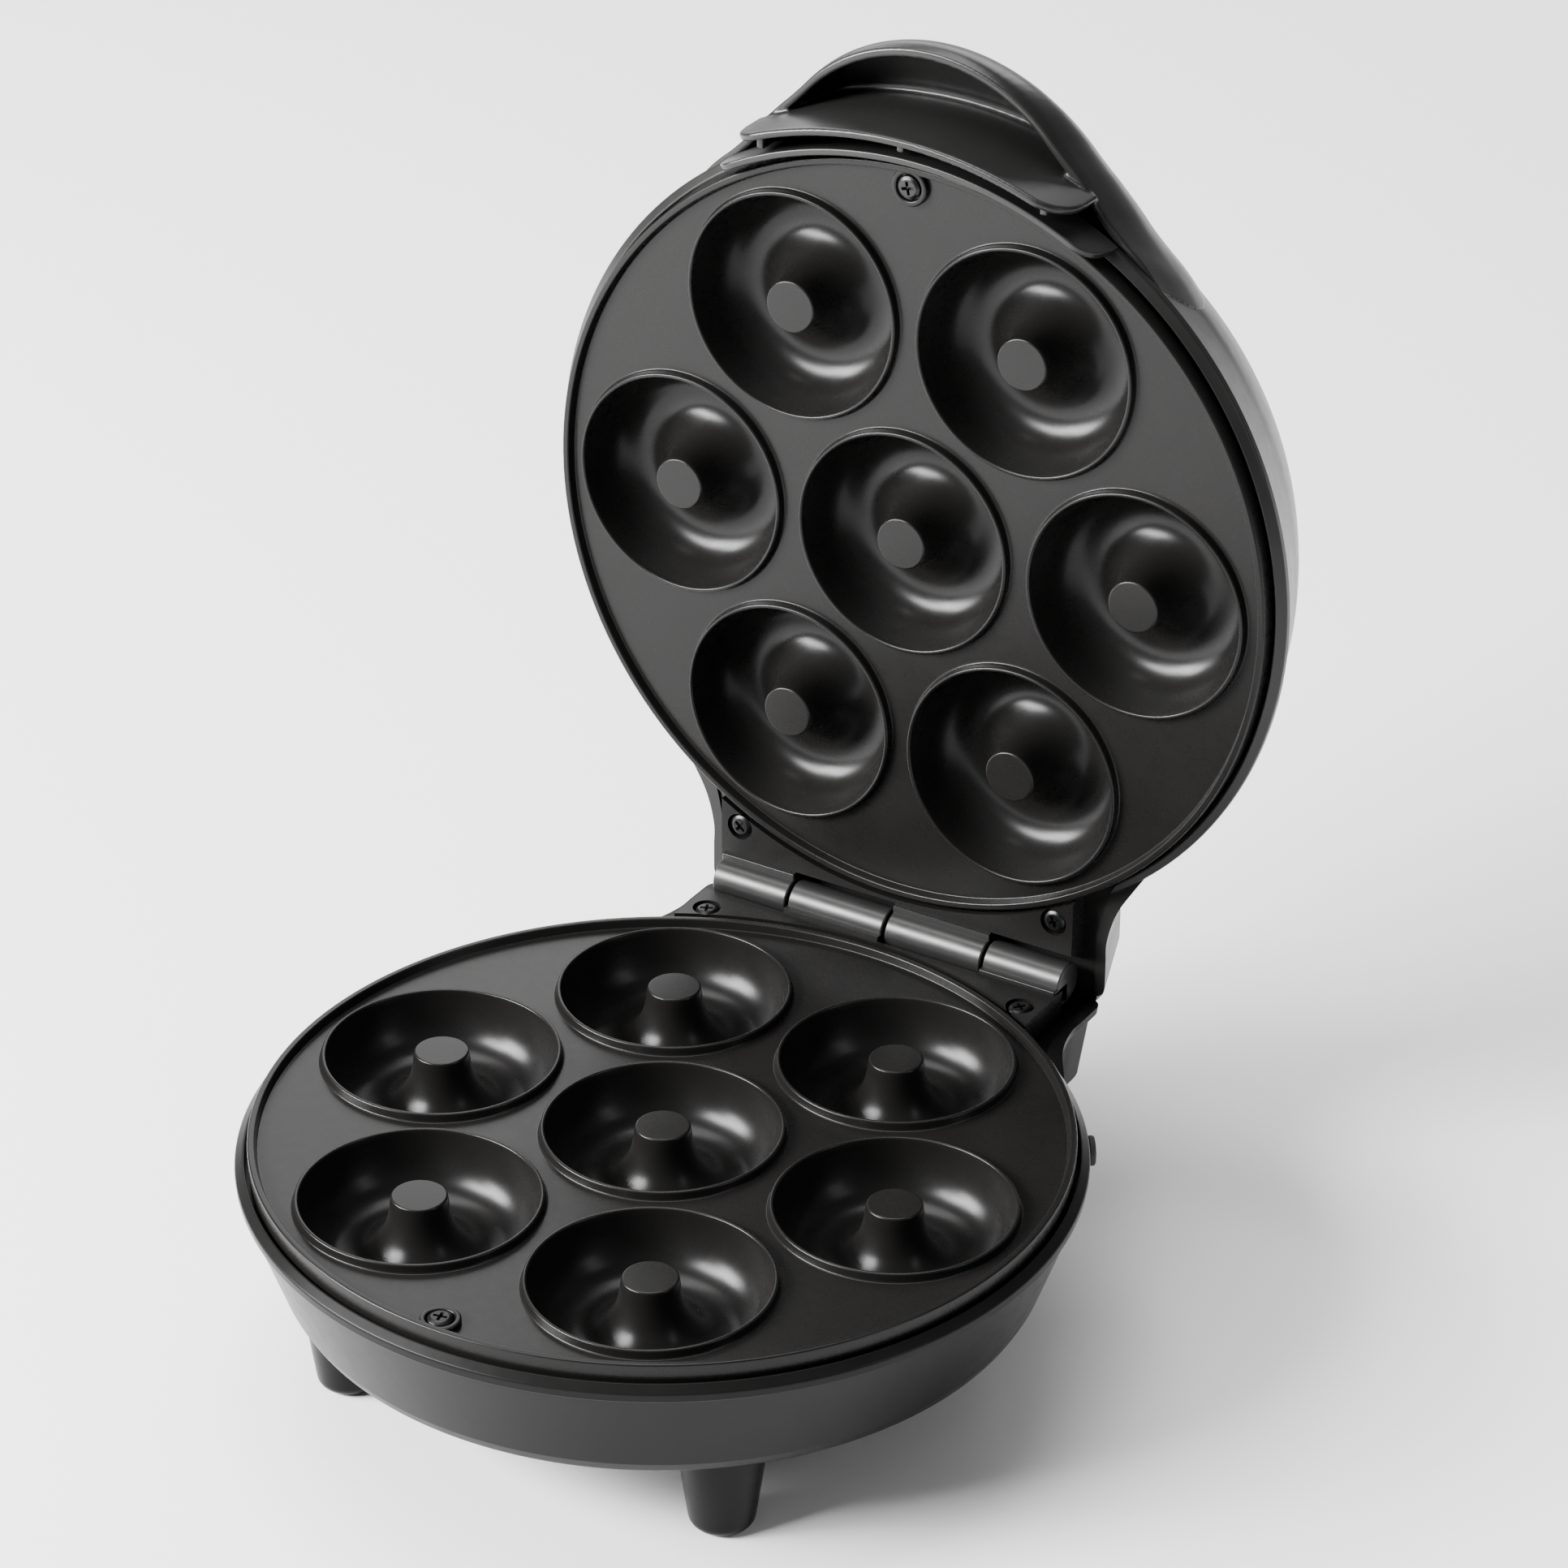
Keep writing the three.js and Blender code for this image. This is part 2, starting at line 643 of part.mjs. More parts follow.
const paint = {
  casing: () => finish(0x3a3938, 0.5, 0),
  coating: () => finish(0x4b4846, 0.42, 0.3),
  steel: () => finish(0xb4b6b8, 0.3, 1),
  screw: () => finish(0x2a2a2b, 0.4, 0.8),
  foil: () => finish(0xc9ccd0, 0.35, 1),
  ceramic: () => finish(0xe4e0d6, 0.6, 0),
  rubber: () => finish(0x161616, 0.7, 0),
  wire: () => finish(0xd8d2c4, 0.7, 0),
  red: () => finish(0xb3120e, 0.15, 0),
  green: () => finish(0x1f9a3c, 0.15, 0),
  board: () => finish(0x2f5a38, 0.6, 0),
};

function node(name, body, material) {
  const mesh = new THREE.Mesh(geometryOf(body), material);
  mesh.name = name;
  return mesh;
}

function plateScrews(prefix) {
  const [leafX, leafY] = SCREW_LEAF;
  return [
    node(prefix + "_plate_screw_front", plateScrew(SCREW_FRONT, -0.3, 2.2, -14), paint.screw()),
    node(prefix + "_plate_screw_left", plateScrew([-leafX, leafY], 0.9, 2.4, -14), paint.screw()),
    node(prefix + "_plate_screw_right", plateScrew([leafX, leafY], 0.9, 2.4, -14), paint.screw()),
  ];
}

function makeBase() {
  const base = new THREE.Group();
  base.add(node("base_casing", makeBaseCasing(), paint.casing()));
  base.add(node("lower_plate", makePlate(PIN_BLIND_END), paint.coating()));
  base.add(...plateScrews("lower"));
  const names = ["front_left", "front_right", "rear_left", "rear_right"];
  footPlaces().forEach((at, i) => {
    const floor = at[1] < 0 ? -31.6 : -25.4;
    base.add(node("foot_" + names[i], makeFoot(at), paint.casing()));
    base.add(node("foot_screw_" + names[i], footScrew(at, floor), paint.steel()));
  });
  base.add(node("lower_heating_element", makeElement(), paint.steel()));
  base.add(node("lower_heat_reflector", makeReflector(), paint.foil()));
  base.add(node("thermostat", makeThermostat(), paint.ceramic()));
  base.add(node("thermal_fuse", makeThermalFuse(), paint.ceramic()));
  base.add(node("thermal_fuse_clip", makeFuseClip(), paint.steel()));
  base.add(node("terminal_block", makeTerminalBlock(), paint.ceramic()));
  base.add(node("cord_gland", makeGland(), paint.rubber()));
  base.add(node("cord_clamp", makeCordClamp(), paint.casing()));
  const lead = [
    [71, 52.6, -10.8],
    [71.1, 52.7, -14.4],
    [72.8, 53.8, -19.5],
    [73.2, 54.1, -24],
    [69.5, 51.4, -28],
    [63.5, 48, -28.8],
    [52, 48, -28.8],
    [36, 58, -28.8],
    [28, 68, -28.5],
    [19, 71, -28.4],
  ];
  base.add(node("base_lead", makeLead(lead, 1.3, 16), paint.wire()));
  const pinStart = KNUCKLE_EDGES[0] + 0.4;
  const pin = cylinderX(PIN_RADIUS, pinStart, PIN_BLIND_END - 0.4, HINGE_Y, MATING, 12);
  base.add(node("hinge_pin", pin, paint.steel()));
  return base;
}

function makeLid() {
  const lid = new THREE.Group();
  lid.add(node("lid_casing", makeLidCasing(), paint.casing()));
  lid.add(node("handle", makeHandle(), paint.casing()));
  lid.add(node("handle_screw_left", handleScrew(HANDLE_SCREW_X), paint.steel()));
  lid.add(node("handle_screw_right", handleScrew(-HANDLE_SCREW_X), paint.steel()));
  lid.add(node("upper_plate", makePlate(60), paint.coating()));
  lid.add(...plateScrews("upper"));
  lid.add(node("upper_heating_element", makeElement(), paint.steel()));
  lid.add(node("upper_heat_reflector", makeReflector(), paint.foil()));
  lid.add(node("power_lens", makeLens(LENS_X[1]), paint.red()));
  lid.add(node("ready_lens", makeLens(LENS_X[0]), paint.green()));
  lid.add(node("power_lamp", makeLamp(LENS_X[1]), paint.ceramic()));
  lid.add(node("ready_lamp", makeLamp(LENS_X[0]), paint.ceramic()));
  lid.add(node("lamp_board", makeLampBoard(), paint.board()));
  const lead = [[0, LENS_Y + 8, -37], [0, 0, -36], [0, 60, -34], [6, 90, -24], [8, 104, -20]];
  lid.add(node("lid_lead", makeLead(lead, 1.3, 16), paint.wire()));
  return lid;
}

// The lid's half frame turned over about the mating line, then opened to a right angle on the hinge.
function placeLid(lid) {
  lid.rotation.y = Math.PI;
  lid.position.set(0, -HINGE_Y, MATING);
  const hinge = new THREE.Group();
  hinge.add(lid);
  hinge.position.set(0, HINGE_Y, MATING);
  hinge.rotation.x = -Math.PI / 2;
  return hinge;
}

const whole = new THREE.Group();
whole.add(makeBase(), placeLid(makeLid()));

// origin: the centre of the whole object's footprint, on the surface that it stands on
const bounds = new THREE.Box3().setFromObject(whole, true);
const middle = bounds.getCenter(new THREE.Vector3());
whole.position.set(-middle.x, -middle.y, -bounds.min.z);

const group = new THREE.Group();
group.name = "donut_maker";
group.add(whole);

export default group;
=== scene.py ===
"""Looks of an open ring-cake maker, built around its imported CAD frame."""

import json
import math

import bmesh
import bpy
import numpy as np
from mathutils import Matrix, Vector
from mathutils.geometry import tessellate_polygon


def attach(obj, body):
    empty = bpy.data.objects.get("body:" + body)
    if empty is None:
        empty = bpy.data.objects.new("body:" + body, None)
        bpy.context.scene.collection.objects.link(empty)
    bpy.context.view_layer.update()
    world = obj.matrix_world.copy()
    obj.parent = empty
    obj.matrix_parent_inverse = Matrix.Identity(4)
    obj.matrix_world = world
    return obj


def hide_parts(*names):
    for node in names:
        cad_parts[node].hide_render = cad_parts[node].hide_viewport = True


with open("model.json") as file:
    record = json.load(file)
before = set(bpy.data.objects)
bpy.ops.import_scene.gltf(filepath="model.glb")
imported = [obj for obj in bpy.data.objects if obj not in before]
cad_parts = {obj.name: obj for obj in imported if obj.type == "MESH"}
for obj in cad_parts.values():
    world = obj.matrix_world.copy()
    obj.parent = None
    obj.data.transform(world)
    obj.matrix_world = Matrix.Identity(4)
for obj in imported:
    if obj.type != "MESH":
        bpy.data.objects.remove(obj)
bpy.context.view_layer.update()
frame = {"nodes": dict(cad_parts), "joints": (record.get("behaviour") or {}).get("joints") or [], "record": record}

# ---------- driving dimensions, in mm, in the half frame ----------
# Each half has its plate at z = 0 facing +Z and the hinge at +Y. The lid is the same frame turned over.
HINGE_Y, MATING = 110, 2.52  # the hinge axis
PIN_RADIUS, PIN_LOW, PIN_HIGH = 1.5, -51.1, 47.1
PIN_BORE = 1.95

MOULD_PITCH = 65
BEAD_RADIUS = 30.4
BEAD_FOOT = BEAD_RADIUS + 0.6
LIP = 2.2  # height of the beads and of the rim over the flat
PLATE_RADIUS, PLATE_THICKNESS = 100.3, 2.4
FLAT_TOP_RADIUS, FLAT_UNDER_RADIUS = 97.5, 96.4
LEAF_HALF, LEAF_TOP, LEAF_BOTTOM = 52, 2.3, -4.6
LEAF_FRONT, LEAF_REAR = 80, 105.9
KNUCKLE_RADIUS, KNUCKLE_GAP, KNUCKLE_ROOM = 5.3, 0.8, 2.3
KNUCKLE_EDGES = (-51.5, -29, 0, 29, 51.5)
SCREW_RADIUS = 3.05
SCREWS = {  # place, top of the head, turn of its cross in degrees
    "front": ((0, -94.6), 1.9, 12),
    "left": ((-46.5, 94), 2.2, 25),
    "right": ((46.5, 94), 2.2, 50),
}

CASING_WALL = 2.4
FLANGE_RADIUS = 103.6
NECK_HALF, NECK_TOP, NECK_REAR = 58.5, -4.2, 116.1
NECK_WALL, NECK_LEAN = 3, 0.75
LEDGE = -4.9  # floor of the neck, just under the hinge leaf
STOP_HALF, STOP_FRONT, STOP_REAR = 56.4, 112, 119.6
SKIRT_RADIUS, SKIRT_THICKNESS, SKIRT_HALF_ANGLE = 104, 1.8, 31

CREST_RADIUS, CREST_CENTRE, CREST_HALF_ANGLE = 47, 79.6, 48
GRIP_SHELL = 2.3
GRIP_WALL, GRIP_WALL_THICKNESS, GRIP_WALL_HALF_ANGLE = 110.3, 2, 25.2
GRIP_SINK = 0.4  # how far its skin sinks into the lid
POST_RADIUS, POST_X, POST_HALF = 106.6, 39, 0.9
POST_TOP, POST_WAIST, POST_BOTTOM = 6, -6, -28

GROUND = -58
FEET = {"front": (53.4, -58.5, -32.6), "rear": (34, 93, -27)}  # x, y, top
GLAND_AZIMUTH, GLAND_Z = 36.5, -10.6
LENS_X, LENS_Y, LENS_RADIUS = 9, -58, 3.2

MOULD_SEGMENTS, RIM_SEGMENTS = 80, 160
CASING_SEGMENTS, GRIP_SEGMENTS = 192, 256
SMALL_SEGMENTS = 48

hinge = Vector(frame["joints"][0]["pos_m"])
to_half = Matrix.Scale(0.001, 4) @ Matrix.Translation((0, -HINGE_Y, -MATING))
turn_over = Matrix(((-1, 0, 0, 0), (0, 0, -1, 0), (0, -1, 0, 0), (0, 0, 0, 1)))
PLACE = {
    "base": Matrix.Translation(hinge) @ to_half,
    "lid": Matrix.Translation(hinge) @ turn_over @ to_half,
}


# ---------- outlines and curves ----------
def rounded(points, closed=False, steps=5):
    """The outline with each corner that has a third number rounded to that radius."""
    out = []
    count = len(points)
    for i, point in enumerate(points):
        here = np.array(point[:2], float)
        radius = point[2] if len(point) > 2 else 0
        if not radius or (not closed and i in (0, count - 1)):
            out.append(tuple(here))
            continue
        u = np.array(points[i - 1][:2], float) - here
        v = np.array(points[(i + 1) % count][:2], float) - here
        lu, lv = np.linalg.norm(u), np.linalg.norm(v)
        u, v = u / lu, v / lv
        half = math.acos(max(-1, min(1, float(u @ v)))) / 2
        reach = min(radius / math.tan(half), 0.49 * lu, 0.49 * lv)
        first, last = here + u * reach, here + v * reach
        centre = here + (u + v) / np.linalg.norm(u + v) * (reach / math.cos(half))
        sweep = math.pi - 2 * half
        for k in range(steps + 1):
            t = k / steps
            a = math.sin((1 - t) * sweep) / math.sin(sweep)
            b = math.sin(t * sweep) / math.sin(sweep)
            out.append(tuple(centre + a * (first - centre) + b * (last - centre)))
    return out


def spline(points, per):
    """A Catmull-Rom curve through points of any dimension, with so many steps per span."""
    p = [np.array(q, float) for q in points]
    p = [2 * p[0] - p[1], *p, 2 * p[-1] - p[-2]]
    out = []
    for i in range(1, len(p) - 2):
        for k in range(per):
            t = k / per
            slope = (p[i + 1] - p[i - 1]) * t
            bend = (2 * p[i - 1] - 5 * p[i] + 4 * p[i + 1] - p[i + 2]) * t**2
            turn = (3 * p[i] - p[i - 1] - 3 * p[i + 1] + p[i + 2]) * t**3
            out.append(0.5 * (2 * p[i] + slope + bend + turn))
    return [tuple(q) for q in [*out, p[-2]]]


def circle(radius, count, at=(0, 0)):
    """Points at equal angles round a circle."""
    angles = [2 * math.pi * k / count for k in range(count)]
    return [(at[0] + radius * math.cos(a), at[1] + radius * math.sin(a)) for a in angles]


def mirrored(half):
    """The outline of one side, from the middle line to the middle line, with its mirror image."""
    other = [(-x, y) for x, y in half if abs(x) > 1e-6]
    return [*half, *other[::-1]]


# ---------- shells: (points, faces) in the half frame ----------
def revolve(profile, segments, at=(0, 0)):
    """A surface of revolution about Z. The profile runs anticlockwise in (radius, z)."""
    points, faces, rows = [], [], []
    for radius, z in profile:
        if radius < 1e-6:
            rows.append([len(points)] * segments)
            points.append((at[0], at[1], z))
            continue
        rows.append(list(range(len(points), len(points) + segments)))
        points += [(x, y, z) for x, y in circle(radius, segments, at)]
    for low, high in zip(rows, rows[1:]):
        for k in range(segments):
            n = (k + 1) % segments
            face = [low[k], low[n], high[n], high[k]]
            face = [v for i, v in enumerate(face) if v != face[i - 1]]
            if len(face) > 2:
                faces.append(face)
    return points, faces


def disc(radius, low, high, segments, at=(0, 0)):
    """An upright cylinder."""
    return revolve([(0, low), (radius, low), (radius, high), (0, high)], segments, at)


def skinned(sections):
    """A closed solid through outlines of points in space, all with one point count."""
    count = len(sections[0])
    points = [point for section in sections for point in section]
    faces = []
    for start in range(0, len(points) - count, count):
        for i in range(count):
            a, b = start + i, start + (i + 1) % count
            faces.append([a, b, b + count, a + count])
    faces.append(list(range(count))[::-1])
    faces.append(list(range(len(points) - count, len(points))))
    return points, faces


def loft(sections):
    """A closed solid through [(z, outline)], outlines anticlockwise with one point count."""
    return skinned([[(x, y, z) for x, y in outline] for z, outline in sections])


def prism(outline, low, high):
    return loft([(low, outline), (high, outline)])


def box(low, high):
    x0, y0, z0 = low
    x1, y1, z1 = high
    return prism([(x0, y0), (x1, y0), (x1, y1), (x0, y1)], z0, z1)


def moved(shell, matrix):
    points, faces = shell
    return [tuple(matrix @ Vector(p)) for p in points], faces


def bar(radius, low, high, edge=0.0, segments=64):
    """A cylinder along the hinge axis, with rounded ends."""
    profile = [(0, low), (radius, low, edge), (radius, high, edge), (0, high)]
    shell = revolve(rounded(profile, steps=4), segments)
    return moved(shell, Matrix.Translation((0, HINGE_Y, MATING)) @ Matrix.Rotation(math.pi / 2, 4, "Y"))


def arc_wall(inner, outer, low, top, half_angle, edge, steps=96):
    """A wall along an arc centred on -Y. top(share) is its height at a share of the half angle."""
    sections = []
    for s in range(steps + 1):
        share = -1 + 2 * s / steps
        a = math.radians(-90 + half_angle * share)
        high = max(low + 2 * edge + 0.1, top(abs(share)))
        corners = [(inner, low), (outer, low), (outer, high, edge), (inner, high, edge)]
        section = rounded(corners, closed=True, steps=4)
        sections.append([(r * math.cos(a), r * math.sin(a), z) for r, z in section])
    return skinned(sections)


def turned_down(crown, level, width):
    """The height of a wall whose ends, over the last width of its half angle, curve down to a level."""

    def top(share):
        t = max(0.0, (share - 1 + width) / width)
        return crown - (crown - level) * (1 - math.sqrt(max(0.0, 1 - t * t)))

    return top


# ---------- objects ----------
def raw(shells, name="work"):
    """An object in the half frame, in mm, holding the shells."""
    mesh = bpy.data.meshes.new(name)
    points, faces = [], []
    for p, f in shells:
        start = len(points)
        points += p
        faces += [[i + start for i in face] for face in f]
    mesh.from_pydata(points, [], faces)
    work = bmesh.new()
    work.from_mesh(mesh)
    bmesh.ops.remove_doubles(work, verts=work.verts, dist=1e-4)
    bmesh.ops.recalc_face_normals(work, faces=work.faces)
    work.to_mesh(mesh)
    work.free()
    made = bpy.data.objects.new(name, mesh)
    bpy.context.scene.collection.objects.link(made)
    return made


def settle(made):
    """The object with its modifiers applied."""
    graph = bpy.context.evaluated_depsgraph_get()
    mesh = bpy.data.meshes.new_from_object(made.evaluated_get(graph))
    old = made.data
    made.modifiers.clear()
    made.data = mesh
    bpy.data.meshes.remove(old)
    return made


def combine(made, tools, operation):
    """A boolean with each tool in turn, a list of shells or an object that it uses up."""
    for given in tools:
        tool = given if isinstance(given, bpy.types.Object) else raw(given, "tool")
        step = made.modifiers.new("cut", "BOOLEAN")
        step.solver = "EXACT"
        step.operation = operation
        step.object = tool
        settle(made)
        bpy.data.objects.remove(tool)
    return made


def cut(made, *tools):
    return combine(made, tools, "DIFFERENCE")


def fuse(made, *tools):
    return combine(made, tools, "UNION")


def within(made, *tools):
    return combine(made, tools, "INTERSECT")


def bevelled(made, width, angle=40):
    step = made.modifiers.new("edge", "BEVEL")
    step.width = width
    step.segments = 3
    step.limit_method = "ANGLE"
    step.angle_limit = math.radians(angle)
    step.use_clamp_overlap = True
    return settle(made)


def join(first, *rest):
    """One object from several, each keeping its own closed surface."""
    work = bmesh.new()
    for piece in (first, *rest):
        work.from_mesh(piece.data)
    for piece in rest:
        bpy.data.objects.remove(piece)
    work.to_mesh(first.data)
    work.free()
    return first


def finish_piece(made, name, half, material, node, angle=32):
    """Puts a piece in the row frame, shades it, paints it, rides it on its body in place of a node."""
    made.name = name
    made.data.name = name
    made.data.transform(PLACE[half])
    for polygon in made.data.polygons:
        polygon.use_smooth = True
    made.data.set_sharp_from_angle(angle=math.radians(angle))
    weigh = made.modifiers.new("normals", "WEIGHTED_NORMAL")
    weigh.keep_sharp = True
    made.data.materials.clear()
    made.data.materials.append(material)
    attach(made, half)
    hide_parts(node)
    return made


# ---------- materials ----------
NOISE_LOW, NOISE_HIGH = 0.3, 0.7  # most of a noise lies between these
MOTTLE_SCALE, GLOSS_SCALE = 55, 240
GRAIN_HEIGHT, LINE_HEIGHT, BRAID_HEIGHT = 0.00006, 0.00003, 0.0002  # m
LINES_ALONG, LINES_ACROSS = 60, 2600


def shader(name, color, roughness, **sockets):
    made = bpy.data.materials.new(name)
    made.use_nodes = True
    surface = made.node_tree.nodes["Principled BSDF"]
    surface.inputs["Base Color"].default_value = (*color, 1)
    surface.inputs["Roughness"].default_value = roughness
    for key, value in sockets.items():
        surface.inputs[key.replace("_", " ")].default_value = value
    return made, made.node_tree, surface


def noise(tree, scale, detail):
    place = tree.nodes.new("ShaderNodeTexCoord")
    made = tree.nodes.new("ShaderNodeTexNoise")
    made.inputs["Scale"].default_value = scale
    made.inputs["Detail"].default_value = detail
    made.inputs["Roughness"].default_value = 0.55
    tree.links.new(place.outputs["Object"], made.inputs["Vector"])
    return made.outputs["Fac"]


def gloss(tree, surface, source, roughness):
    """The source's usual range spread over a pair of roughnesses."""
    made = tree.nodes.new("ShaderNodeMapRange")
    made.inputs["From Min"].default_value = NOISE_LOW
    made.inputs["From Max"].default_value = NOISE_HIGH
    made.inputs["To Min"].default_value = roughness[0]
    made.inputs["To Max"].default_value = roughness[1]
    tree.links.new(source, made.inputs["Value"])
    tree.links.new(made.outputs["Result"], surface.inputs["Roughness"])


def tint(tree, surface, source, dark, light):
    """The source's usual range spread over two colours."""
    ramp = tree.nodes.new("ShaderNodeValToRGB")
    ends = ramp.color_ramp.elements
    for end, position, color in ((ends[0], NOISE_LOW, dark), (ends[1], NOISE_HIGH, light)):
        end.position = position
        end.color = (*color, 1)
    tree.links.new(source, ramp.inputs["Fac"])
    tree.links.new(ramp.outputs["Color"], surface.inputs["Base Color"])


def bump(tree, surface, source, strength, distance):
    made = tree.nodes.new("ShaderNodeBump")
    made.inputs["Strength"].default_value = strength
    made.inputs["Distance"].default_value = distance
    tree.links.new(source, made.inputs["Height"])
    tree.links.new(made.outputs["Normal"], surface.inputs["Normal"])


def grained(name, dark, light, roughness, grain, strength, **sockets):
    """A moulded or coated surface: slow mottling of colour and gloss over a fine grain."""
    made, tree, surface = shader(name, light, roughness[1], **sockets)
    tint(tree, surface, noise(tree, MOTTLE_SCALE, 4), dark, light)
    gloss(tree, surface, noise(tree, GLOSS_SCALE, 5), roughness)
    bump(tree, surface, noise(tree, grain, 2), strength, GRAIN_HEIGHT)
    return made


def brushed(name, dark, light, roughness):
    """Metal with fine lines drawn along X."""
    made, tree, surface = shader(name, light, roughness[1], Metallic=1.0)
    place = tree.nodes.new("ShaderNodeTexCoord")
    stretch = tree.nodes.new("ShaderNodeMapping")
    stretch.inputs["Scale"].default_value = (LINES_ALONG, LINES_ACROSS, LINES_ACROSS)
    lines = tree.nodes.new("ShaderNodeTexNoise")
    lines.inputs["Scale"].default_value = 1.0
    lines.inputs["Detail"].default_value = 3.0
    tree.links.new(place.outputs["Object"], stretch.inputs["Vector"])
    tree.links.new(stretch.outputs["Vector"], lines.inputs["Vector"])
    tint(tree, surface, lines.outputs["Fac"], dark, light)
    gloss(tree, surface, lines.outputs["Fac"], roughness)
    bump(tree, surface, lines.outputs["Fac"], 0.25, LINE_HEIGHT)
    return made


def sleeved(name, dark, light):
    """A braided sleeve: two sets of crossing threads."""
    made, tree, surface = shader(name, light, 0.8)
    place = tree.nodes.new("ShaderNodeTexCoord")
    cross = tree.nodes.new("ShaderNodeMath")
    cross.operation = "MULTIPLY"
    for i, kind in enumerate(("BANDS", "RINGS")):
        wave = tree.nodes.new("ShaderNodeTexWave")
        wave.wave_type = kind
        wave.bands_direction = "DIAGONAL"
        wave.inputs["Scale"].default_value = 900
        wave.inputs["Distortion"].default_value = 1.5
        tree.links.new(place.outputs["Object"], wave.inputs["Vector"])
        tree.links.new(wave.outputs["Fac"], cross.inputs[i])
    tint(tree, surface, cross.outputs[0], dark, light)
    bump(tree, surface, cross.outputs[0], 0.6, BRAID_HEIGHT)
    return made


def moulded(name, dark, light, specular):
    """The casing's black plastic."""
    return grained(name, dark, light, (0.28, 0.33), 2600, 0.04, Specular_IOR_Level=specular)


def tinted_lens(name, dark, light):
    """Clear coloured plastic, polished."""
    return grained(name, dark, light, (0.08, 0.14), 400, 0.05, Coat_Weight=0.6)


# The base's copy of the casing plastic: the same plastic as the lid's, but painted darker and less reflective as
# painted shade for the base sitting low by the floor.
SHADED_PLASTIC = moulded("base_plastic_painted_shade", (0.0048, 0.0047, 0.0046), (0.006, 0.0059, 0.0057), 0.085)
LID_PLASTIC = moulded("lid_plastic", (0.0088, 0.0086, 0.0084), (0.0106, 0.0104, 0.0101), 0.28)
COATING = grained(
    "nonstick_coating", (0.005, 0.0047, 0.0045), (0.0059, 0.0055, 0.0053), (0.26, 0.3), 3600, 0.04,
    Specular_IOR_Level=0.17,
)
# Lighter satin metal for the knuckle barrels, which belong to the coated casting: painted sheen standing in for
# the highlight that light from above puts on them.
SHEEN_SATIN = grained(
    "knuckle_painted_sheen", (0.034, 0.0335, 0.033), (0.042, 0.0415, 0.041), (0.3, 0.36), 3000, 0.05,
    Metallic=0.7,
)
BLACKENED = grained(
    "blackened_steel", (0.012, 0.012, 0.012), (0.03, 0.03, 0.031), (0.22, 0.4), 2400, 0.2,
    Metallic=0.9,
)
RUBBER = grained("gland_rubber", (0.008, 0.008, 0.008), (0.014, 0.014, 0.014), (0.55, 0.75), 1800, 0.3)
STEEL = brushed("bright_steel", (0.42, 0.42, 0.43), (0.62, 0.62, 0.63), (0.22, 0.38))
FOIL = brushed("reflector_sheet", (0.6, 0.61, 0.63), (0.78, 0.79, 0.81), (0.2, 0.34))
CERAMIC = grained("ceramic_body", (0.58, 0.55, 0.48), (0.7, 0.67, 0.6), (0.5, 0.7), 1500, 0.25)
BOARD = grained("circuit_board", (0.01, 0.06, 0.02), (0.02, 0.1, 0.035), (0.3, 0.45), 700, 0.2)
SLEEVE = sleeved("braided_sleeve", (0.35, 0.32, 0.26), (0.7, 0.66, 0.58))
RED = tinted_lens("red_lens", (0.25, 0.006, 0.004), (0.4, 0.012, 0.008))
GREEN = tinted_lens("green_lens", (0.006, 0.14, 0.02), (0.012, 0.24, 0.04))

# ---------- plates ----------
mould_centres = [(0, 0), *circle(MOULD_PITCH, 6)]
gap = KNUCKLE_GAP / 2
own_knuckles = [
    (KNUCKLE_EDGES[1] + gap, KNUCKLE_EDGES[2] - gap),
    (KNUCKLE_EDGES[3] + gap, KNUCKLE_EDGES[4]),
]
other_knuckles = [
    (-LEAF_HALF - 2, KNUCKLE_EDGES[1] + gap),
    (KNUCKLE_EDGES[2] - gap, KNUCKLE_EDGES[3] + gap),
]


def mould_profile():
    """From the centre of the peg out through the trough and over the bead to the plate."""
    peg = rounded([(0, LIP), (6.75, LIP, 0.55), (7.0, 0.6)], steps=4)
    trough = spline(
        [
            (7.0, 0.6), (7.35, -2.2), (8.1, -5.2), (9.6, -8.2), (12.2, -11.1), (15.0, -12.8), (18.2, -13.2),
            (21.4, -12.5), (24.2, -10.6), (26.3, -7.6), (27.5, -4.2), (28.2, -1.0), (28.5, 0.9),
        ],
        3,
    )
    bead = rounded(
        [(28.5, 0.9), (28.75, LIP, 0.5), (29.7, LIP, 0.5), (30.1, 0.0, 0.5), (BEAD_FOOT, 0.0)], steps=4
    )
    return [*peg, *trough[1:-1], *bead]


def rim_profile():
    """From the plate's flat over the lip and down to the underside."""
    over = [(FLAT_TOP_RADIUS, 0), (98.0, 0, 0.5), (98.6, LIP, 0.45), (PLATE_RADIUS, LIP, 0.5)]
    down = [(PLATE_RADIUS, -0.5), (PLATE_RADIUS - 0.4, -6.9, 0.3), (97.8, -6.9, 0.3)]
    under = [(97.4, -PLATE_THICKNESS), (FLAT_UNDER_RADIUS, -PLATE_THICKNESS)]
    return rounded([*over, *down, *under], steps=4)


def filled(z, outer, inner):
    """A flat face at z, inside the circle outer, with a hole of radius inner at each mould."""
    circles = [circle(outer, RIM_SEGMENTS)]
    circles += [circle(inner, MOULD_SEGMENTS, at) for at in mould_centres]
    rings = [[Vector((x, y, z)) for x, y in ring] for ring in circles]
    points = [tuple(p) for ring in rings for p in ring]
    return points, [list(t) for t in tessellate_polygon(rings)]


